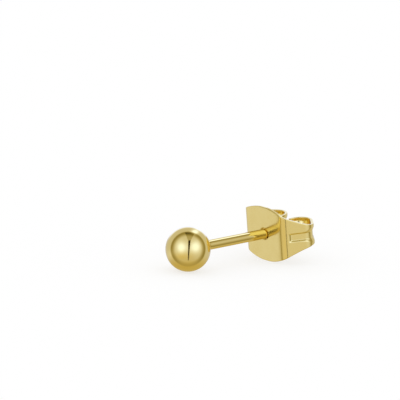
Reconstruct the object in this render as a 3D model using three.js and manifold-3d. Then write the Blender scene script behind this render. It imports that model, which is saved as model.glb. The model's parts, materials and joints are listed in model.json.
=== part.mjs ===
// A ball stud earring with its friction back pushed onto the post, as it lies on a table.
// Millimetres, +Z up. The post runs along +Y, from the ball at the front to the back's curls.
// The origin is on the table, below the middle of the earring's bounding box.
import * as THREE from 'three';
import * as BufferGeometryUtils from 'three/addons/utils/BufferGeometryUtils.js';
import Module from 'manifold-3d';

// Ball and post: one soldered piece, turned about the post's axis.
const ballRadius = 2.0;
const postRadius = 0.45;
const postLength = 10.0; // from the ball's surface to the rounded tip
const solderRadius = 0.18; // small hollow of solder where the post leaves the ball
const turnedSides = 48; // flats round the ball and post

// Friction back: one strip of sheet, blanked, pierced and bent.
const sheet = 0.25;
const plateHalf = 1.743; // flat front plate, from the hole to where it begins to curve
const easeRadius = 6.45; // outer radius of the gentle curve that leads into the fold
const easeTurn = 4.0; // degrees
const foldRadius = 0.76; // outer radius of the fold between plate and side wall
const foldTurn = 57.4;
const wallLength = 1.58;
const curlRadius = 1.0; // outer radius of the wide curl at the side
const curlTurn = 82.6;
const rearLength = 0.98; // nearly straight stretch at the rear
const lobeRadius = 1.22; // outer radius of the lobe that turns in beside the post
const lobeTurn = 119.0;
const lipLength = 0.3; // straight end that lies along the post

// The blank is widest at the hole and narrows along a wave to both ends.
const middleHalfWidth = 2.51;
const endHalfWidth = 0.93;
const narrowingLength = 5.9; // along the strip, from the hole
const narrowingPower = 1.09; // over 1 keeps the plate wide a little longer
const shearedHalfWidth = 2.497; // the blank's edges are sheared straight at its widest place

// A shallow channel is pressed into the outer face of each wing, along its middle.
const channelDepth = 0.14;
const channelFloorHalf = 0.26;
const wallMouthHalf = 0.42;
const curlMouthHalf = 0.7; // the channel opens wider from the curl on
const channelStart = 3.05; // along the strip, just past the fold
const channelRunIn = 0.25; // length over which it reaches its full depth
const wideningStart = 4.53; // along the strip, where the side wall ends
const wideningLength = 0.7;

// The hole for the post has a rounded mouth and a short lip drawn to the rear.
const holeRadius = 0.52;
const mouthRadius = 0.61;
const mouthDepth = 0.12;
const drawnLipRadius = 0.7;
const drawnLipEndRadius = 0.64;
const drawnLipEnd = 0.45; // behind the plate's front face
const holeSides = 24;

// Where the back sits on the post, and how it leans there.
const plateFromBallCentre = 8.73;
const backLean = 5.0; // degrees, its top edge towards the ball

// A straight stretch of the strip, in equal steps.
function straight(length, steps) {
  return { length, turn: 0, steps };
}

// A bend of the strip: its length is its outer radius times its angle.
function bend(radius, degrees, steps) {
  const turn = THREE.MathUtils.degToRad(degrees);
  return { length: radius * turn, turn, steps };
}

// One wing, from the hole to the end of the strip, measured along its outer face.
const wing = [
  straight(plateHalf, 4),
  bend(easeRadius, easeTurn, 2),
  bend(foldRadius, foldTurn, 8),
  straight(wallLength, 4),
  bend(curlRadius, curlTurn, 9),
  straight(rearLength, 3),
  bend(lobeRadius, lobeTurn, 12),
  straight(lipLength, 1),
];

// Walks a wing and returns its stations: distance along, place and heading. In a bend each
// step is a chord, which points halfway between the headings at its two ends.
function walkWing(stretches) {
  const stations = [{ along: 0, x: 0, y: 0, heading: 0 }];
  for (const { length, turn, steps } of stretches) {
    const stepTurn = turn / steps;
    const stepLength = length / steps;
    const half = stepTurn / 2;
    const chord = turn === 0 ? stepLength : (stepLength * Math.sin(half)) / half;
    for (let step = 0; step < steps; step += 1) {
      const last = stations[stations.length - 1];
      stations.push({
        along: last.along + stepLength,
        x: last.x + chord * Math.cos(last.heading + half),
        y: last.y + chord * Math.sin(last.heading + half),
        heading: last.heading + stepTurn,
      });
    }
  }
  return stations;
}

// Half the strip's width at a distance along it: a falling cosine wave, then constant, and
// sheared straight where the wave is widest.
function halfWidthAt(along) {
  const share = Math.min(along / narrowingLength, 1) ** narrowingPower;
  const wave = (1 + Math.cos(Math.PI * share)) / 2;
  return Math.min(endHalfWidth + (middleHalfWidth - endHalfWidth) * wave, shearedHalfWidth);
}

// Half the channel's mouth at a distance along the strip: it opens past the side wall.
function channelMouthAt(along) {
  const wideningEnd = wideningStart + wideningLength;
  const opening = THREE.MathUtils.smoothstep(along, wideningStart, wideningEnd);
  return wallMouthHalf + (curlMouthHalf - wallMouthHalf) * opening;
}

// Depth of the pressed channel at a distance along the strip and a height on it.
function channelDepthAt(along, height) {
  const runIn = THREE.MathUtils.smoothstep(along, channelStart, channelStart + channelRunIn);
  const mouth = channelMouthAt(along);
  const rise = THREE.MathUtils.smoothstep(Math.abs(height), channelFloorHalf, mouth);
  return channelDepth * runIn * (1 - rise);
}

// The strip's rows of height at a station, from its lower edge to its upper edge.
function rowHeights(along) {
  const edge = halfWidthAt(along);
  const mouth = channelMouthAt(along);
  const between = (mouth + edge) / 2;
  const middle = (channelFloorHalf + mouth) / 2;
  const upper = [channelFloorHalf, middle, mouth, between, edge];
  const lower = upper.map((height) => -height).reverse();
  return [...lower, 0, ...upper];
}

// Bends a flat box of sheet: its length follows the two wings, its height the rows, and its
// two faces lie on the outer face and one sheet inside it.
function bentStripGeometry() {
  const half = walkWing(wing);
  const rows = rowHeights(0).length - 1;
  const columns = 2 * (half.length - 1);
  const strip = new THREE.BoxGeometry(columns, rows, 1, columns, rows, 1);
  const position = strip.getAttribute('position');
  for (let index = 0; index < position.count; index += 1) {
    const column = Math.round(position.getX(index));
    const row = Math.round(position.getY(index) + rows / 2);
    const side = Math.sign(column);
    const station = half[Math.abs(column)];
    const height = rowHeights(station.along)[row];
    const faceOffset = position.getZ(index) > 0 ? 0 : sheet;
    const inward = faceOffset + channelDepthAt(station.along, height);
    const x = station.x - inward * Math.sin(station.heading);
    const y = station.y + inward * Math.cos(station.heading);
    position.setXYZ(index, side * x, y, height);
  }
  return strip;
}

// A closed geometry with shared vertices, as a solid that can be joined and cut.
function toSolid(wasm, geometry) {
  const bare = geometry.clone();
  bare.deleteAttribute('normal');
  bare.deleteAttribute('uv');
  const merged = BufferGeometryUtils.mergeVertices(bare);
  const vertProperties = new Float32Array(merged.getAttribute('position').array);
  const triVerts = new Uint32Array(merged.getIndex().array);
  return new wasm.Manifold(new wasm.Mesh({ numProp: 3, vertProperties, triVerts }));
}

// A solid's surface as a geometry.
function toGeometry(solid) {
  const { vertProperties, triVerts } = solid.getMesh();
  const geometry = new THREE.BufferGeometry();
  geometry.setAttribute('position', new THREE.BufferAttribute(vertProperties, 3));
  geometry.setIndex(new THREE.BufferAttribute(triVerts, 1));
  geometry.computeVertexNormals();
  return geometry;
}

// Points of an arc from one angle to another, both in degrees from the radial direction.
function arcPoints(radial, axial, radius, from, to, steps) {
  const points = [];
  for (let step = 0; step <= steps; step += 1) {
    const angle = THREE.MathUtils.degToRad(from + ((to - from) * step) / steps);
    points.push(new THREE.Vector2(radial + radius * Math.cos(angle), axial + radius * Math.sin(angle)));
  }
  return points;
}

// Ball, solder hollow, post and rounded tip in one turned profile, from axis to axis.
function makeBallPost() {
  const hollowRadial = postRadius + solderRadius;
  const hollowAxial = Math.sqrt((ballRadius + solderRadius) ** 2 - hollowRadial ** 2);
  const contact = THREE.MathUtils.radToDeg(Math.atan2(hollowAxial, hollowRadial));
  const tip = ballRadius + postLength;
  const profile = [
    ...arcPoints(0, 0, ballRadius, -90, contact, 21),
    ...arcPoints(hollowRadial, hollowAxial, solderRadius, 180 + contact, 180, 4).slice(1),
    ...arcPoints(0, tip - postRadius, postRadius, 0, 90, 5),
  ];
  profile[0].x = 0;
  profile[profile.length - 1].x = 0;
  const gold = new THREE.MeshStandardMaterial({ color: 0xe3bf62, metalness: 1, roughness: 0.1 });
  const mesh = new THREE.Mesh(new THREE.LatheGeometry(profile, turnedSides), gold);
  mesh.name = 'ball_post';
  return mesh;
}

// The bent strip with the drawn lip joined on and the post hole cut through both.
function makeButterflyBack(wasm) {
  const lipFront = sheet / 2;
  const lipProfile = [
    new THREE.Vector2(0, lipFront),
    new THREE.Vector2(drawnLipRadius, lipFront),
    new THREE.Vector2(drawnLipRadius, sheet),
    new THREE.Vector2(drawnLipEndRadius, drawnLipEnd),
    new THREE.Vector2(0, drawnLipEnd),
  ];
  const mouthCurve = mouthRadius - holeRadius;
  const mouth = [0, 30, 60, 90].map((degrees) => {
    const angle = THREE.MathUtils.degToRad(degrees);
    return new THREE.Vector2(
      mouthRadius - mouthCurve * Math.sin(angle),
      mouthDepth * (1 - Math.cos(angle)),
    );
  });
  const holeProfile = [
    new THREE.Vector2(0, -sheet),
    new THREE.Vector2(mouthRadius, -sheet),
    ...mouth,
    new THREE.Vector2(holeRadius, drawnLipEnd + sheet),
    new THREE.Vector2(0, drawnLipEnd + sheet),
  ];
  const strip = toSolid(wasm, bentStripGeometry());
  const lip = toSolid(wasm, new THREE.LatheGeometry(lipProfile, holeSides));
  const hole = toSolid(wasm, new THREE.LatheGeometry(holeProfile, holeSides));
  const solid = strip.add(lip).subtract(hole);
  const gold = new THREE.MeshStandardMaterial({ color: 0xd9b968, metalness: 1, roughness: 0.18 });
  const mesh = new THREE.Mesh(toGeometry(solid), gold);
  mesh.name = 'butterfly_back';
  return mesh;
}

// The post's slope when the ball and the plate's lower edge both touch the table: the edge
// point turns about the ball's centre until it is one ball radius below it.
function restSlope() {
  const lean = THREE.MathUtils.degToRad(backLean);
  const edgeY = plateFromBallCentre + halfWidthAt(0) * Math.sin(lean);
  const edgeZ = -halfWidthAt(0) * Math.cos(lean);
  return Math.asin(-ballRadius / Math.hypot(edgeY, edgeZ)) - Math.atan2(edgeZ, edgeY);
}

const wasm = await Module();
wasm.setup();

const backOnPost = new THREE.Group();
backOnPost.add(makeButterflyBack(wasm));
backOnPost.position.y = plateFromBallCentre;
backOnPost.rotation.x = THREE.MathUtils.degToRad(backLean);

const stud = new THREE.Group();
stud.add(makeBallPost(), backOnPost);
stud.rotation.x = restSlope();

const bounds = new THREE.Box3().setFromObject(stud, true);
stud.position.set(0, -(bounds.min.y + bounds.max.y) / 2, -bounds.min.z);

const earring = new THREE.Group();
earring.add(stud);

export default earring;
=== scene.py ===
import json
import math

import bmesh
import bpy
import numpy as np
from mathutils import Matrix, Vector


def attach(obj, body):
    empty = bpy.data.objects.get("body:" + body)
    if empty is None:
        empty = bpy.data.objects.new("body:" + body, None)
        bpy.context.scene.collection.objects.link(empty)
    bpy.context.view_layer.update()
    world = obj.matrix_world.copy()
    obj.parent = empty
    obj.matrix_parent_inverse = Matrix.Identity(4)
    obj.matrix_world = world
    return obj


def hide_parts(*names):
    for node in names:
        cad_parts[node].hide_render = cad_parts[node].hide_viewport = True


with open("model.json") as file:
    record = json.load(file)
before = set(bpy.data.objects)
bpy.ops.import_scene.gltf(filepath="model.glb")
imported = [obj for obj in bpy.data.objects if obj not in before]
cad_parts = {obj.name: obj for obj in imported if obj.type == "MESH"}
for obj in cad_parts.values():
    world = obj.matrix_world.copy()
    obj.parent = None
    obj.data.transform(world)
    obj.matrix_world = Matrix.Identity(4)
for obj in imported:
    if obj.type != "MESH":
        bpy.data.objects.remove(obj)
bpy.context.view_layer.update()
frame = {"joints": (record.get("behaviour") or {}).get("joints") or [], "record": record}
print("frame loaded")

mm = 0.001  # sizes below are in millimetres, the scene in metres

plateFromBallCentre = 8.73  # along the post's axis, to the plate's front face
mergeDistance = 2e-8  # metres, between points that are the same one

# Placement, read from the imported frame: the slide's axis is the post, and the mount lies on
# the plate's front face beside the point where the post's axis meets it.
slideAxis = np.array(frame["joints"][0]["axis"])
seat = frame["record"]["mounts"][0]
acrossAxis = np.array([1.0, 0.0, 0.0])
postAxis = slideAxis / np.linalg.norm(slideAxis)
postUp = np.cross(acrossAxis, postAxis)
plateCentre = np.array([0.0, seat["pos_m"][1], seat["pos_m"][2]]) / mm
plateInward = -np.array(seat["axis"])
plateInward = plateInward / np.linalg.norm(plateInward)
plateUp = np.cross(acrossAxis, plateInward)
ballCentre = plateCentre - plateFromBallCentre * postAxis


# Smooth step: 0 before low, 1 after high, and 3t^2 - 2t^3 between them.
def smoothStep(value, low, high):
    share = np.clip((value - low) / (high - low), 0.0, 1.0)
    return share * share * (3.0 - 2.0 * share)


# Points of an arc in the plane (radial, axial): centre plus radius times cosine and sine of
# the angle, for evenly spaced angles in degrees.
def arcPoints(centre, radius, fromAngle, toAngle, steps):
    angles = np.radians(np.linspace(fromAngle, toAngle, steps + 1))
    arc = np.stack([np.cos(angles), np.sin(angles)], axis=1)
    return np.array(centre) + radius * arc


# Evenly spaced points of a straight line between two points.
def linePoints(start, end, steps):
    shares = np.linspace(0.0, 1.0, steps + 1)[:, None]
    return np.array(start) * (1.0 - shares) + np.array(end) * shares


# Joins runs of points, leaving out each run's first point where it repeats the last one.
def joinRuns(runs):
    return np.concatenate([runs[0]] + [run[1:] for run in runs[1:]])


# Quads of a grid of points with index row * columns + column, whose last column is joined
# back to its first.
def gridQuads(rows, columns):
    row, column = np.meshgrid(np.arange(rows - 1), np.arange(columns), indexing="ij")
    nextColumn = (column + 1) % columns
    corners = [
        row * columns + column,
        (row + 1) * columns + column,
        (row + 1) * columns + nextColumn,
        row * columns + nextColumn,
    ]
    return np.stack(corners, axis=-1).reshape(-1, 4)


# Makes a mesh object from points in millimetres and faces, closes its seams and poles by
# merging doubles, turns all its faces outwards and shades it smooth.
def makePiece(name, points, faces):
    mesh = bpy.data.meshes.new(name)
    mesh.from_pydata((points * mm).tolist(), [], faces)
    work = bmesh.new()
    work.from_mesh(mesh)
    bmesh.ops.remove_doubles(work, verts=work.verts, dist=mergeDistance)
    bmesh.ops.recalc_face_normals(work, faces=work.faces)
    openEdges = sum(1 for edge in work.edges if not edge.is_manifold)
    work.to_mesh(mesh)
    work.free()
    mesh.shade_smooth()
    piece = bpy.data.objects.new(name, mesh)
    bpy.context.scene.collection.objects.link(piece)
    print(name, len(mesh.polygons), "faces,", openEdges, "open edges")
    return piece


# Ball and post: one soldered piece, turned about the post's axis.
ballPost = {
    "ballRadius": 2.0,
    "postRadius": 0.45,
    "postLength": 10.0,  # from the ball's surface to the tip
    "solderRadius": 0.18,  # hollow of solder between ball and post
    "aroundSteps": 192,
    "ballSteps": 128,
    "solderSteps": 12,
    "postSteps": 24,
    "tipSteps": 16,
}


# Profile of ball, solder hollow, post and tip as (radial, axial) points from the ball's
# centre. The hollow's arc touches the ball and the post, so the outline has no corner.
def ballPostProfile(size):
    hollowRadial = size["postRadius"] + size["solderRadius"]
    reach = size["ballRadius"] + size["solderRadius"]
    hollowAxial = math.sqrt(reach**2 - hollowRadial**2)
    contact = math.degrees(math.atan2(hollowAxial, hollowRadial))
    tipAxial = size["ballRadius"] + size["postLength"] - size["postRadius"]
    radius = size["postRadius"]
    ball = arcPoints((0, 0), size["ballRadius"], -90, contact, size["ballSteps"])
    hollow = arcPoints(
        (hollowRadial, hollowAxial), size["solderRadius"], 180 + contact, 180, size["solderSteps"]
    )
    post = linePoints((radius, hollowAxial), (radius, tipAxial), size["postSteps"])
    tip = arcPoints((0, tipAxial), radius, 0, 90, size["tipSteps"])
    profile = joinRuns([ball, hollow, post, tip])
    profile[[0, -1], 0] = 0.0
    return profile


# Turned surface of two parameters, place on the profile and angle about the post's axis:
# centre + axial * axis + radial * (cosine * across + sine * up).
def makeBallPost(size):
    profile = ballPostProfile(size)
    angles = np.linspace(0.0, 2.0 * math.pi, size["aroundSteps"], endpoint=False)
    around = np.cos(angles)[:, None] * acrossAxis + np.sin(angles)[:, None] * postUp
    points = (
        ballCentre
        + profile[:, 1][:, None, None] * postAxis
        + profile[:, 0][:, None, None] * around[None]
    )
    quads = gridQuads(len(profile), size["aroundSteps"])
    return makePiece("ballPost", points.reshape(-1, 3), quads.tolist())


# Friction back: one strip of sheet with a hole, bent to a plate and two curled wings.
butterflyBack = {
    "sheet": 0.25,
    "edgeRadius": 0.055,
    "middleHalfWidth": 2.51,
    "endHalfWidth": 0.93,
    "shearedHalfWidth": 2.497,  # the edges are cut straight where the strip is widest
    "narrowingLength": 5.9,
    "narrowingPower": 1.09,
    "channelDepth": 0.14,
    "channelFloorHalf": 0.26,
    "wallMouthHalf": 0.42,
    "curlMouthHalf": 0.7,
    "channelStart": 3.05,
    "channelRunIn": 0.25,
    "wideningStart": 4.53,  # where the side wall ends and the channel starts to widen
    "wideningLength": 0.7,
    "holeRadius": 0.52,
    "mouthRadius": 0.61,
    "mouthDepth": 0.12,
    "lipRadius": 0.7,
    "lipEndRadius": 0.64,
    "lipEnd": 0.45,  # behind the plate's front face
    "lipRounding": 0.035,
    "patchHalf": 0.85,  # half the square of plate that carries the hole
    "patchSteps": 20,  # grid steps along half that square
    "patchRings": 7,  # rings of points from the square's border to the hole's mouth
    "ringPower": 0.8,  # under 1 sets the rings closer together at the hole
    "rowNarrowingLength": 1.3,  # over which the middle rows come to narrow with the strip
    "outerRows": 10,
    "cornerSteps": 5,
    "edgeSteps": 3,
    "mouthSteps": 8,
    "boreSteps": 6,
    "lipCornerSteps": 5,
    "lipRimSteps": 2,
    "lipSideSteps": 3,
    "lipFilletSteps": 4,
    "holeMargin": 1e-6,  # keeps points on the square's border inside it
}

# One wing from the hole outwards: length along the outer face, outer radius and turn of a
# bend in degrees (0 for a straight stretch), and grid steps.
wingStretches = [
    {"name": "holePlate", "length": 0.85, "radius": 0, "turn": 0, "steps": 20},
    {"name": "plate", "length": 0.893, "radius": 0, "turn": 0, "steps": 8},
    {"name": "easeIn", "length": 0, "radius": 6.45, "turn": 4.0, "steps": 8},
    {"name": "fold", "length": 0, "radius": 0.76, "turn": 57.4, "steps": 20},
    {"name": "wall", "length": 1.58, "radius": 0, "turn": 0, "steps": 18},
    {"name": "curl", "length": 0, "radius": 1.0, "turn": 82.6, "steps": 26},
    {"name": "rear", "length": 0.98, "radius": 0, "turn": 0, "steps": 10},
    {"name": "lobe", "length": 0, "radius": 1.22, "turn": 119.0, "steps": 36},
    {"name": "lip", "length": 0.3, "radius": 0, "turn": 0, "steps": 4},
]


# Walks one wing: each step turns by its share of the bend and moves along its chord, which
# is step length * sin(h) / h for half the step's turn h. Gives along, x, y and heading.
def walkWing(stretches):
    steps = np.array([stretch["steps"] for stretch in stretches])
    turns = np.radians([stretch["turn"] for stretch in stretches])
    bendLengths = np.array([stretch["radius"] for stretch in stretches]) * turns
    lengths = np.array([stretch["length"] for stretch in stretches]) + bendLengths
    stepTurn = np.repeat(turns / steps, steps)
    stepLength = np.repeat(lengths / steps, steps)
    chord = stepLength * np.sinc(stepTurn / 2.0 / math.pi)
    heading = np.concatenate([[0.0], np.cumsum(stepTurn)])
    middle = heading[:-1] + stepTurn / 2.0
    x = np.concatenate([[0.0], np.cumsum(chord * np.cos(middle))])
    y = np.concatenate([[0.0], np.cumsum(chord * np.sin(middle))])
    along = np.concatenate([[0.0], np.cumsum(stepLength)])
    return along, x, y, heading


# Half the blank's width along it: a falling cosine wave, sheared straight where widest.
def halfWidthAt(along, size):
    share = np.minimum(along / size["narrowingLength"], 1.0) ** size["narrowingPower"]
    wave = (1.0 + np.cos(math.pi * share)) / 2.0
    span = size["middleHalfWidth"] - size["endHalfWidth"]
    return np.minimum(size["endHalfWidth"] + span * wave, size["shearedHalfWidth"])


# Depth of the pressed channel: full depth on its floor, falling by a smooth step to nothing
# at its mouth, which opens wider past the side wall.
def channelDepthAt(along, height, size):
    start = size["channelStart"]
    runInEnd = start + size["channelRunIn"]
    wideningEnd = size["wideningStart"] + size["wideningLength"]
    opening = smoothStep(along, size["wideningStart"], wideningEnd)
    mouth = size["wallMouthHalf"] + (size["curlMouthHalf"] - size["wallMouthHalf"]) * opening
    rise = smoothStep(np.abs(height), size["channelFloorHalf"], mouth)
    return size["channelDepth"] * smoothStep(along, start, runInEnd) * (1.0 - rise)


# Heights of the face rows at each station: even steps over the middle, as wide as the square
# round the hole near it and narrowing with the strip, then outer rows up to the edge.
def faceRows(along, edge, size):
    narrowingEnd = size["patchHalf"] + size["rowNarrowingLength"]
    narrowing = smoothStep(along, size["patchHalf"], narrowingEnd)
    inner = size["patchHalf"] * (1.0 - narrowing * (1.0 - edge / edge[len(edge) // 2]))
    middleShares = np.linspace(-1.0, 1.0, 2 * size["patchSteps"] + 1)
    outerShares = np.linspace(0.0, 1.0, size["outerRows"] + 1)[1:]
    middleRows = inner[:, None] * middleShares
    outerRows = inner[:, None] + (edge - inner)[:, None] * outerShares
    return np.concatenate([-outerRows[:, ::-1], middleRows, outerRows], axis=1)


# Closed section of the strip at each station as (offset, height): outer face, rounded edge,
# inner face, rounded edge. The inset draws it in, which rounds the strip's two ends.
def stripSections(along, inset, size):
    radius = size["edgeRadius"]
    thickness = size["sheet"]
    edge = halfWidthAt(along, size) - radius
    face = faceRows(along, edge, size)
    small = (radius - inset)[:, None]
    turn = np.radians(np.linspace(0.0, 90.0, size["cornerSteps"] + 1))[1:]
    straight = np.linspace(0.0, 1.0, size["edgeSteps"] + 1)[1:-1]
    near = radius - small * np.cos(turn)
    far = thickness - radius + small * np.sin(turn)
    flat = radius + (thickness - 2 * radius) * straight
    across = np.broadcast_to(flat, (len(along), len(straight)))
    nearRise = small * np.sin(turn)
    farRise = small * np.cos(turn)
    flatRise = np.broadcast_to(small, across.shape)
    farStart = np.full((len(along), 1), thickness - radius)
    offsets = np.concatenate([near, across, farStart, far], axis=1)
    rises = np.concatenate([nearRise, flatRise, small, farRise], axis=1)
    top = edge[:, None] + rises
    offsetLoop = np.concatenate(
        [
            np.broadcast_to(inset[:, None], face.shape),
            offsets[:, :-1],
            np.broadcast_to(thickness - inset[:, None], face.shape),
            offsets[:, ::-1][:, 1:],
        ],
        axis=1,
    )
    heightLoop = np.concatenate([face, top[:, :-1], face[:, ::-1], -top[:, ::-1][:, 1:]], axis=1)
    return offsetLoop, heightLoop


# Maps places on the strip to space: x across the plate, y inwards from its front face and
# height up it, about the point where the post's axis meets the plate.
def plateToSpace(x, y, height):
    return (
        plateCentre
        + x[..., None] * acrossAxis
        + y[..., None] * plateInward
        + height[..., None] * plateUp
    )


# Radii and depths of the hole from the plate's front to its rear: rounded mouth, bore, the
# end of the drawn lip with small rounded corners, and its outer side down to the rear face.
def holeProfile(size):
    angles = np.radians(np.linspace(0.0, 90.0, size["mouthSteps"] + 1))
    curve = size["mouthRadius"] - size["holeRadius"]
    mouth = np.stack(
        [
            size["mouthRadius"] - curve * np.sin(angles),
            size["mouthDepth"] * (1.0 - np.cos(angles)),
        ],
        axis=1,
    )
    rounding = size["lipRounding"]
    cornerAxial = size["lipEnd"] - rounding
    cornerSteps = size["lipCornerSteps"]
    innerCentre = (size["holeRadius"] + rounding, cornerAxial)
    innerCorner = arcPoints(innerCentre, rounding, 180, 90, cornerSteps)
    outerCentre = (size["lipEndRadius"] - rounding, cornerAxial)
    outerCorner = arcPoints(outerCentre, rounding, 90, 0, cornerSteps)
    bore = linePoints(mouth[-1], innerCorner[0], size["boreSteps"])
    rim = linePoints(innerCorner[-1], outerCorner[0], size["lipRimSteps"])
    foot = (size["lipRadius"], size["sheet"] + rounding)
    side = linePoints(outerCorner[-1], foot, size["lipSideSteps"])
    filletCentre = (size["lipRadius"] + rounding, foot[1])
    fillet = arcPoints(filletCentre, rounding, 180, 270, size["lipFilletSteps"])
    return joinRuns([mouth, bore, innerCorner, rim, outerCorner, side, fillet])


# Square patch with the hole: for each point on the square's border, rings run straight to the
# circle where the hole's profile starts, through the hole, and back out behind the plate.
def holePatch(size):
    half = size["patchHalf"]
    steps = 2 * size["patchSteps"]
    side = np.linspace(-half, half, steps + 1)[:-1]
    fixed = np.full(steps, half)
    borderX = np.concatenate([side, fixed, -side, -fixed])
    borderZ = np.concatenate([-fixed, side, fixed, -side])
    length = np.hypot(borderX, borderZ)
    profile = holeProfile(size)
    shares = (np.linspace(0.0, 1.0, size["patchRings"]) ** size["ringPower"])[:, None]
    frontRadius = length * (1.0 - shares) + profile[0, 0] * shares
    rearRadius = (length * (1.0 - shares) + profile[-1, 0] * shares)[::-1]
    holeRadii = np.broadcast_to(profile[1:-1, 0][:, None], (len(profile) - 2, len(length)))
    radii = np.concatenate([frontRadius, holeRadii, rearRadius])
    depths = np.concatenate(
        [np.zeros(len(shares)), profile[1:-1, 1], np.full(len(shares), size["sheet"])]
    )
    depthGrid = np.broadcast_to(depths[:, None], radii.shape)
    points = plateToSpace(radii * borderX / length, depthGrid, radii * borderZ / length)
    quads = gridQuads(*radii.shape)
    return points.reshape(-1, 3), quads


# Strip surface of two parameters, distance along both wings and place round the section:
# path point, plus offset along the path's left normal, with the section's height upwards.
def makeButterflyBack(size):
    along, x, y, heading = walkWing(wingStretches)
    turn = np.linspace(0.0, math.pi / 2.0, size["cornerSteps"] + 1)[1:]
    inset = np.concatenate([np.zeros(len(along)), size["edgeRadius"] * (1.0 - np.cos(turn))])
    reach = size["edgeRadius"] * np.sin(turn)
    x = np.concatenate([x, x[-1] + reach * math.cos(heading[-1])])
    y = np.concatenate([y, y[-1] + reach * math.sin(heading[-1])])
    heading = np.concatenate([heading, np.full(len(reach), heading[-1])])
    along = np.concatenate([along, along[-1] + reach])
    side = np.concatenate([-np.ones(len(x) - 1), np.ones(len(x))])[:, None]
    both = np.abs(np.arange(1 - len(x), len(x)))
    along, x, y, heading, inset = (values[both] for values in (along, x, y, heading, inset))
    offset, height = stripSections(along, inset, size)
    inward = offset + channelDepthAt(along[:, None], height, size)
    pathX = (x[:, None] - inward * np.sin(heading)[:, None]) * side
    pathY = y[:, None] + inward * np.cos(heading)[:, None]
    points = plateToSpace(pathX, pathY, height)
    quads = gridQuads(*height.shape)
    border = size["patchHalf"] + size["holeMargin"]
    holeArea = ((along[:, None] < border) & (np.abs(height) < border)).ravel()
    kept = quads[~holeArea[quads].all(axis=1)]
    sectionSize = height.shape[1]
    lastStart = (height.shape[0] - 1) * sectionSize
    endCaps = [list(range(sectionSize)), list(range(lastStart, lastStart + sectionSize))]
    patchPoints, patchQuads = holePatch(size)
    stripCount = height.size
    allPoints = np.concatenate([points.reshape(-1, 3), patchPoints])
    faces = kept.tolist() + (patchQuads + stripCount).tolist() + endCaps
    return makePiece("butterflyBack", allPoints, faces)


# A Mix node's sockets go by number, because their names repeat for each kind of value.
mixShare = 0
mixFirstNumber = 2
mixSecondNumber = 3
mixFirstColor = 6
mixSecondColor = 7
mixedNumber = 0
mixedColor = 2


# Adds a node to a tree, sets its plain properties, and gives each named input its value, or
# a link where that is a socket.
def addNode(tree, kind, properties=None, inputs=None):
    node = tree.nodes.new(kind)
    for key, value in (properties or {}).items():
        setattr(node, key, value)
    for key, value in (inputs or {}).items():
        if isinstance(value, bpy.types.NodeSocket):
            tree.links.new(value, node.inputs[key])
        else:
            node.inputs[key].default_value = value
    return node


# One Math node on sockets or numbers.
def calc(tree, operation, *given):
    inputs = dict(enumerate(given))
    return addNode(tree, "ShaderNodeMath", {"operation": operation}, inputs).outputs["Value"]


# Maps a value from one range to another, 0 to 1 where none is given, and keeps it inside.
def rangeNode(tree, inputs, interpolation="LINEAR"):
    properties = {"interpolation_type": interpolation}
    return addNode(tree, "ShaderNodeMapRange", properties, inputs).outputs["Result"]


# Colour between two, each a socket or a plain colour: the first at share 0, the second at 1.
def mixColors(tree, share, first, second):
    inputs = {mixShare: share, mixFirstColor: first, mixSecondColor: second}
    return addNode(tree, "ShaderNodeMix", {"data_type": "RGBA"}, inputs).outputs[mixedColor]


# Noise pattern from 0 to 1 at a place.
def noiseNode(tree, place, scale, detail, roughness):
    inputs = {"Vector": place, "Scale": scale, "Detail": detail, "Roughness": roughness}
    return addNode(tree, "ShaderNodeTexNoise", inputs=inputs).outputs["Fac"]


# Wear on the gold: slow clouds times fine scratches, which are stretched noise.
goldWear = {
    "cloudDetail": 3.0,
    "cloudRoughness": 0.55,
    "scratchDetail": 2.0,
    "scratchRoughness": 0.7,
    "scratchStretch": (1.0, 9.0, 1.0),  # finer along Y, so the scratches run across the post
    "noiseTurn": (0.4, 0.3, 0.9),  # radians, turns the noise's own grid off the axes
    "cleanest": 0.12,  # product of clouds and scratches where the gold is clean
    "dullest": 0.42,
}


# Makes the gold's shared surface group: colour and roughness go evenly from clean to dull
# with the product of clouds and scratches.
def makeWearGroup(wear):
    group = bpy.data.node_groups.new("handledGold", "ShaderNodeTree")
    face = group.interface
    for name in ("cleanColor", "dullColor"):
        face.new_socket(name, in_out="INPUT", socket_type="NodeSocketColor")
    for name in ("roughnessLow", "roughnessHigh", "cloudScale", "scratchScale"):
        face.new_socket(name, in_out="INPUT", socket_type="NodeSocketFloat")
    face.new_socket("color", in_out="OUTPUT", socket_type="NodeSocketColor")
    face.new_socket("roughness", in_out="OUTPUT", socket_type="NodeSocketFloat")
    given = addNode(group, "NodeGroupInput").outputs
    place = addNode(group, "ShaderNodeTexCoord").outputs["Object"]
    cloud = noiseNode(
        group, place, given["cloudScale"], wear["cloudDetail"], wear["cloudRoughness"]
    )
    mapping = {"Vector": place, "Rotation": wear["noiseTurn"], "Scale": wear["scratchStretch"]}
    stretched = addNode(group, "ShaderNodeMapping", inputs=mapping).outputs["Vector"]
    scratch = noiseNode(
        group, stretched, given["scratchScale"], wear["scratchDetail"], wear["scratchRoughness"]
    )
    both = calc(group, "MULTIPLY", cloud, scratch)
    spread = rangeNode(
        group, {"Value": both, "From Min": wear["cleanest"], "From Max": wear["dullest"]}
    )
    roughness = rangeNode(
        group, {"Value": spread, "To Min": given["roughnessLow"], "To Max": given["roughnessHigh"]}
    )
    color = mixColors(group, spread, given["cleanColor"], given["dullColor"])
    addNode(group, "NodeGroupOutput", inputs={"color": color, "roughness": roughness})
    return group


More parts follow.
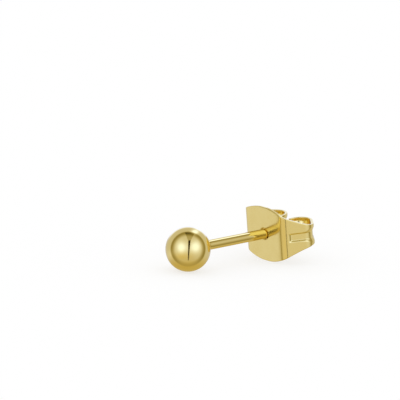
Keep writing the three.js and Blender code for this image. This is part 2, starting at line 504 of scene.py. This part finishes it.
# Looks of the two golds: colours in linear light, roughness range and pattern sizes per metre.
goldFinishes = {
    "polishedGold": {
        "cleanColor": (0.94, 0.77, 0.27, 1.0),
        "dullColor": (0.92, 0.74, 0.25, 1.0),
        "roughnessLow": 0.07,
        "roughnessHigh": 0.1,
        "cloudScale": 900.0,
        "scratchScale": 9000.0,
    },
    "stampedGold": {
        "cleanColor": (0.94, 0.77, 0.27, 1.0),
        "dullColor": (0.92, 0.74, 0.24, 1.0),
        "roughnessLow": 0.14,
        "roughnessHigh": 0.2,
        "cloudScale": 700.0,
        "scratchScale": 7000.0,
    },
}


# A gold material: the shared group gives colour and roughness to one metal shader.
def makeGold(name, wearGroup):
    material = bpy.data.materials.new(name)
    material.use_nodes = True
    tree = material.node_tree
    tree.nodes.clear()
    wear = addNode(tree, "ShaderNodeGroup", {"node_tree": wearGroup}, goldFinishes[name]).outputs
    metal = {"Metallic": 1.0, "Base Color": wear["color"], "Roughness": wear["roughness"]}
    shader = addNode(tree, "ShaderNodeBsdfPrincipled", inputs=metal)
    addNode(tree, "ShaderNodeOutputMaterial", inputs={"Surface": shader.outputs["BSDF"]})
    return material


# Puts one material on a piece, attaches the piece to its body and hides the CAD node it stands for.
def dress(piece, material, body, node):
    piece.data.materials.clear()
    piece.data.materials.append(material)
    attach(piece, body)
    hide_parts(node)


# Camera: the photograph's view of the post and ball.
cameraView = {
    "turn": 51.045,  # degrees round the earring's upright, from looking along the post
    "drop": 13.751,  # degrees down
    "distance": 400.0,
    "sensorWidth": 36.0,
    "imageSize": 400,
    "pixelsPerMm": 11.35,
    "ballPixel": (187.55, 248.52),
    "nearest": 0.01,  # metres, the start of the range it sees
    "farthest": 20.0,  # metres
}


# Camera: it looks along the view line, and the ball's centre falls on its own pixel. Its lens
# is pixels per millimetre * distance * sensor width / image size.
def makeCamera(view):
    turn = math.radians(view["turn"])
    drop = math.radians(view["drop"])
    toRight = math.cos(turn) * acrossAxis + math.sin(turn) * postAxis
    level = -math.sin(turn) * acrossAxis + math.cos(turn) * postAxis
    onward = math.cos(drop) * level - math.sin(drop) * postUp
    toUp = math.sin(drop) * level + math.cos(drop) * postUp
    middlePixel = (view["imageSize"] - 1) / 2.0
    rightShift = (middlePixel - view["ballPixel"][0]) / view["pixelsPerMm"]
    upShift = (view["ballPixel"][1] - middlePixel) / view["pixelsPerMm"]
    place = ballCentre - view["distance"] * onward + rightShift * toRight + upShift * toUp
    data = bpy.data.cameras.new("camera")
    data.sensor_width = view["sensorWidth"]
    data.lens = view["pixelsPerMm"] * view["distance"] * view["sensorWidth"] / view["imageSize"]
    data.clip_start = view["nearest"]
    data.clip_end = view["farthest"]
    camera = bpy.data.objects.new("camera", data)
    turned = Matrix([toRight, toUp, -onward]).transposed().to_4x4()
    turned.translation = Vector(place * mm)
    camera.matrix_world = turned
    bpy.context.scene.collection.objects.link(camera)
    bpy.context.scene.camera = camera
    return toRight, toUp, -onward


toRight, toUp, toCamera = makeCamera(cameraView)
print("camera placed")

ballPiece = makeBallPost(ballPost)
backPiece = makeButterflyBack(butterflyBack)
wearGroup = makeWearGroup(goldWear)
dress(ballPiece, makeGold("polishedGold", wearGroup), "stud", "ball_post")
dress(backPiece, makeGold("stampedGold", wearGroup), "back", "butterfly_back")
print("pieces made")

# Studio. The surround is laid out by the half direction between a ray and the photograph's
# side: on a polished ball each feature then shows at (right, up) in shares of its radius. It
# is fixed in the world and doesn't follow another view.
studio = {
    "paleColor": (1.0, 1.0, 1.0, 1.0),
    "frontLevel": 0.68,
    "backLevel": 0.66,
    "ringDepth": 0.38,  # dark gap between the soft boxes and the backdrop
    "ringStart": 0.54,
    "ringDeepest": 0.73,
    "ringEdge": 0.74,
    "ringEnd": 0.795,
    "lowRingFade": 0.7,  # how much of the gap is filled low down
    "lowerDrop": 0.09,  # how much dimmer the surround is low down
    "lowStart": -0.25,
    "lowEnd": -0.8,
    "lowColor": (1.0, 0.82, 0.4, 1.0),  # warm light from low down and from the warm card
    "rimGain": 0.35,  # the white backdrop behind, above the earring
    "rimStart": 0.92,
    "rimEnd": 0.96,
    "rimFoot": 0.3,  # how high up the rim's light begins
    "rimFull": 0.7,
    "slitRight": 0.04,  # gap between the two soft boxes
    "slitSlant": 0.057,
    "slitHalf": 0.048,
    "slitTaper": 0.038,  # how fast its half width falls towards the bottom
    "slitTop": 0.37,
    "slitBottom": -0.5,
    "slitDepth": 0.9,
    "fanFootHalf": 0.063,  # the gap opens into a fan above
    "fanSpread": 0.46,
    "fanTop": 0.73,
    "fanDepth": 0.24,
    "darkest": 0.03,
}

# Where the smooth edges of slit and fan begin and end, measured from the edge itself.
edgeRises = {
    "slitSide": (-0.012, 0.012),
    "slitTop": (-0.01, 0.03),
    "slitBottom": (-0.03, 0.06),
    "fanSide": (-0.012, 0.03),
    "fanFoot": (-0.06, 0.02),
    "fanTop": (-0.02, 0.02),
}

# Soft lights: the light between the two soft boxes, the boxes, a side fill and a strip above.
softLights = [
    {"name": "between", "right": 0.03, "up": 0.06, "wide": 0.42, "high": 0.26, "gain": 0.2},
    {"name": "leftBox", "right": -0.31, "up": 0.08, "wide": 0.18, "high": 0.24, "gain": 0.5},
    {"name": "rightBox", "right": 0.35, "up": 0.1, "wide": 0.19, "high": 0.24, "gain": 0.5},
    {"name": "sideFill", "right": -0.77, "up": -0.24, "wide": 0.14, "high": 0.2, "gain": 0.13},
    {"name": "topStrip", "right": 0.31, "up": 0.76, "wide": 0.15, "high": 0.09, "gain": 0.8},
]

# Warm card low on the left. Its gain is the share of warm light in its middle.
warmCard = {"right": -0.25, "up": -0.36, "wide": 0.5, "high": 0.2, "gain": 0.7}

# The studio's light is warm where it is dim and cool in the soft boxes.
lightTints = {
    "shadeColor": (1.0, 0.85, 0.4, 1.0),
    "shadeLevel": 0.3,
    "boxColor": (0.95, 1.1, 1.9, 1.0),
    "boxLevel": 1.1,
}


# Smooth rise of a value: 0 at low, 1 at high and 3t^2 - 2t^3 between them.
def riseNode(tree, value, low, high):
    return rangeNode(tree, {"Value": value, "From Min": low, "From Max": high}, "SMOOTHSTEP")


# Smooth rise of a value about an edge, between the edge's own two ends.
def edgeNode(tree, value, edge, name):
    start, end = edgeRises[name]
    return riseNode(tree, value, edge + start, edge + end)


# What a share leaves: one less the share.
def restNode(tree, share):
    return calc(tree, "SUBTRACT", 1.0, share)


# Sum of two squares, x^2 + y^2.
def squaresNode(tree, x, y):
    return calc(tree, "ADD", calc(tree, "MULTIPLY", x, x), calc(tree, "MULTIPLY", y, y))


# Soft bell in the surround: gain * exp(-(x/wide)^2 - (y/high)^2) about its own centre.
def bellNode(tree, right, up, light):
    x = calc(tree, "DIVIDE", calc(tree, "SUBTRACT", right, light["right"]), light["wide"])
    y = calc(tree, "DIVIDE", calc(tree, "SUBTRACT", up, light["up"]), light["high"])
    bell = calc(tree, "EXPONENT", calc(tree, "MULTIPLY", squaresNode(tree, x, y), -1.0))
    return calc(tree, "MULTIPLY", bell, light["gain"])


# Vector Math on one direction socket, with a fixed second direction where one is given.
def vectorNode(tree, operation, direction, fixed=None):
    inputs = {0: direction} if fixed is None else {0: direction, 1: tuple(fixed)}
    return addNode(tree, "ShaderNodeVectorMath", {"operation": operation}, inputs).outputs


# How far a direction is low in the studio: 0 above lowStart, 1 below lowEnd.
def lowShare(tree, up, look):
    return restNode(tree, riseNode(tree, up, look["lowEnd"], look["lowStart"]))


# A level plus a feature's share times its gain.
def withFeature(tree, level, feature, gain):
    return calc(tree, "ADD", level, calc(tree, "MULTIPLY", feature, gain))


# Distance from the slit's middle line, which slants: |right - slitRight - slant * up|.
def asideNode(tree, right, up, look):
    slant = calc(tree, "MULTIPLY", up, look["slitSlant"])
    aside = calc(tree, "SUBTRACT", calc(tree, "SUBTRACT", right, look["slitRight"]), slant)
    return calc(tree, "ABSOLUTE", aside)


# Share of the fan: sides at its foot's half width plus spread * height above the slit's top,
# times its foot, times its top.
def fanNode(tree, aside, up, look):
    risen = calc(tree, "MAXIMUM", calc(tree, "SUBTRACT", up, look["slitTop"]), 0.0)
    half = withFeature(tree, look["fanFootHalf"], risen, look["fanSpread"])
    side = edgeNode(tree, calc(tree, "SUBTRACT", half, aside), 0.0, "fanSide")
    foot = edgeNode(tree, up, look["slitTop"], "fanFoot")
    top = restNode(tree, edgeNode(tree, up, look["fanTop"], "fanTop"))
    return calc(tree, "MULTIPLY", side, calc(tree, "MULTIPLY", foot, top))


# Share of the slit: sides at its half width less taper * depth below its top, times its top,
# times its bottom.
def slitNode(tree, aside, up, look):
    depth = calc(tree, "SUBTRACT", look["slitTop"], up)
    narrowing = calc(tree, "MULTIPLY", depth, look["slitTaper"])
    inside = calc(tree, "SUBTRACT", look["slitHalf"], calc(tree, "ADD", aside, narrowing))
    side = edgeNode(tree, inside, 0.0, "slitSide")
    top = restNode(tree, edgeNode(tree, up, look["slitTop"], "slitTop"))
    bottom = edgeNode(tree, up, look["slitBottom"], "slitBottom")
    return calc(tree, "MULTIPLY", side, calc(tree, "MULTIPLY", top, bottom))


# Level of the surround: front and back levels, less the dark ring and what is lost low down,
# plus the rim and the soft lights, less the fan and the slit.
def surroundLevel(tree, right, up, look):
    radius = calc(tree, "SQRT", squaresNode(tree, right, up))
    ringIn = riseNode(tree, radius, look["ringStart"], look["ringDeepest"])
    beyond = riseNode(tree, radius, look["ringEdge"], look["ringEnd"])
    low = lowShare(tree, up, look)
    ring = calc(tree, "MULTIPLY", ringIn, restNode(tree, beyond))
    filled = calc(tree, "MULTIPLY", low, look["lowRingFade"])
    ring = calc(tree, "MULTIPLY", ring, restNode(tree, filled))
    level = withFeature(tree, look["frontLevel"], ring, -look["ringDepth"])
    level = withFeature(tree, level, beyond, look["backLevel"] - look["frontLevel"])
    level = withFeature(tree, level, low, -look["lowerDrop"])
    rim = riseNode(tree, radius, look["rimStart"], look["rimEnd"])
    rim = calc(tree, "MULTIPLY", rim, riseNode(tree, up, look["rimFoot"], look["rimFull"]))
    level = withFeature(tree, level, rim, look["rimGain"])
    for light in softLights:
        level = calc(tree, "ADD", level, bellNode(tree, right, up, light))
    aside = asideNode(tree, right, up, look)
    level = withFeature(tree, level, fanNode(tree, aside, up, look), -look["fanDepth"])
    return withFeature(tree, level, slitNode(tree, aside, up, look), -look["slitDepth"])


# Surround: reflections see the laid-out studio, the camera and the floor see plain white.
# A ray's place is its half direction, (ray + toCamera) made one long, along right and up.
def makeSurround(look, toRight, toUp, toCamera):
    world = bpy.data.worlds.new("studio")
    world.use_nodes = True
    tree = world.node_tree
    ray = addNode(tree, "ShaderNodeTexCoord").outputs["Generated"]
    half = vectorNode(tree, "ADD", ray, toCamera)["Vector"]
    unit = vectorNode(tree, "NORMALIZE", half)["Vector"]
    right = vectorNode(tree, "DOT_PRODUCT", unit, toRight)["Value"]
    up = vectorNode(tree, "DOT_PRODUCT", unit, toUp)["Value"]
    level = calc(tree, "MAXIMUM", surroundLevel(tree, right, up, look), look["darkest"])
    tintRange = {"From Min": lightTints["shadeLevel"], "From Max": lightTints["boxLevel"]}
    tintShare = rangeNode(tree, {"Value": level, **tintRange})
    tint = mixColors(tree, tintShare, lightTints["shadeColor"], lightTints["boxColor"])
    card = bellNode(tree, right, up, warmCard)
    warmShare = calc(tree, "MAXIMUM", lowShare(tree, up, look), card)
    warm = mixColors(tree, warmShare, tint, look["lowColor"])
    path = addNode(tree, "ShaderNodeLightPath").outputs
    plain = calc(tree, "MAXIMUM", path["Is Camera Ray"], path["Is Diffuse Ray"])
    color = mixColors(tree, plain, warm, look["paleColor"])
    numbers = {mixShare: plain, mixFirstNumber: level, mixSecondNumber: 1.0}
    strength = addNode(tree, "ShaderNodeMix", {"data_type": "FLOAT"}, numbers)
    background = tree.nodes["Background"]
    tree.links.new(color, background.inputs["Color"])
    tree.links.new(strength.outputs[mixedNumber], background.inputs["Strength"])
    world.cycles.sampling_method = "NONE"
    bpy.context.scene.world = world
    bpy.context.scene.view_settings.view_transform = "Standard"


# Flat four-cornered sheet for the studio, which is no part of the earring.
def makeSheet(name, corners, material):
    mesh = bpy.data.meshes.new(name)
    mesh.from_pydata(corners, [], [(0, 1, 2, 3)])
    mesh.materials.append(material)
    sheet = bpy.data.objects.new(name, mesh)
    bpy.context.scene.collection.objects.link(sheet)
    return sheet


paleFloor = {
    "half": 4.0,  # metres
    "color": (1.0, 1.0, 1.0, 1.0),
    "glow": 0.7,  # share of the floor's white that is its own light, which keeps shadows faint
}


# Floor: matt white with a share of its own light. Reflections pass through it, because the
# surround gives what the gold mirrors below the horizon.
def makeFloor(look):
    material = bpy.data.materials.new("paleFloor")
    material.use_nodes = True
    shader = material.node_tree.nodes["Principled BSDF"]
    shade = 1.0 - look["glow"]
    shader.inputs["Base Color"].default_value = [shade * part for part in look["color"][:3]] + [1.0]
    shader.inputs["Roughness"].default_value = 1.0
    shader.inputs["Specular IOR Level"].default_value = 0.0
    shader.inputs["Emission Color"].default_value = look["color"]
    shader.inputs["Emission Strength"].default_value = look["glow"]
    half = look["half"]
    corners = [(-half, -half, 0.0), (half, -half, 0.0), (half, half, 0.0), (-half, half, 0.0)]
    floor = makeSheet("floor", corners, material)
    floor.visible_glossy = False


makeFloor(paleFloor)
makeSurround(studio, toRight, toUp, toCamera)
print("studio made")
